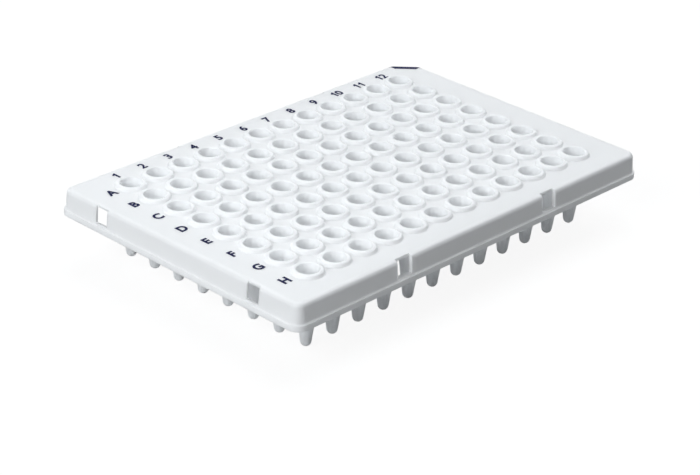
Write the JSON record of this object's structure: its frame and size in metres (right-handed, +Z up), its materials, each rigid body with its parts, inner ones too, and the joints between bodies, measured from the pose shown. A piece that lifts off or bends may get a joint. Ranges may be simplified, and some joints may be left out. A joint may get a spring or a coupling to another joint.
{
  "type": "well plate",
  "caption": "Half-skirted PCR well plate: flat deck with raised well rims on a standard grid, tapered tubes below and a low slotted skirt with one cut corner.",
  "frame": {"origin": "centre of the footprint, on the plane that the tube tips rest on", "axes": "+X from column 1 to column 12, +Y towards row A, +Z up out of the wells"},
  "size_m": [0.1278, 0.0854, 0.0209],
  "materials": {
    "plate": "white moulded polypropylene, satin"
  },
  "bodies": {
    "root": {"plate": "plate"}
  },
  "joints": []
}
